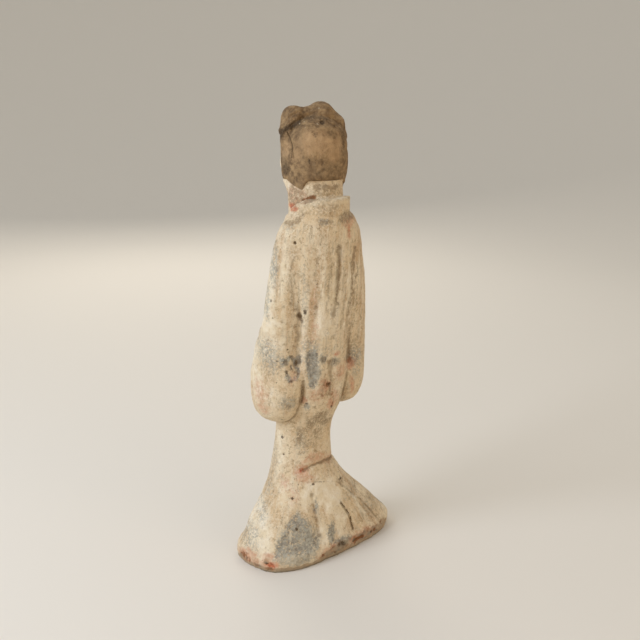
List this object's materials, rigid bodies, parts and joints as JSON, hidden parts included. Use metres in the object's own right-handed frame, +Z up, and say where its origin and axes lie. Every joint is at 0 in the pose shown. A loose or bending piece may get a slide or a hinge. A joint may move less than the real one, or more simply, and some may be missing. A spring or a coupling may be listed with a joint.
{
  "type": "terracotta court lady figure",
  "caption": "Standing terracotta lady in a long flared robe, hands joined inside deep hanging sleeves, hair dressed in a lobed roll.",
  "frame": {"origin": "on the flat underside of the flared hem, below the figure's own axis", "axes": "+Z up through the figure to the crown of the hair, -Y the way she faces, +X her left"},
  "size_m": [0.2021, 0.1203, 0.5],
  "materials": {
    "slipped_clay": "matt fired clay under worn cream slip, with grey, pink and brown pigment left in patches"
  },
  "bodies": {
    "root": {"court_lady": "slipped_clay"}
  },
  "joints": []
}
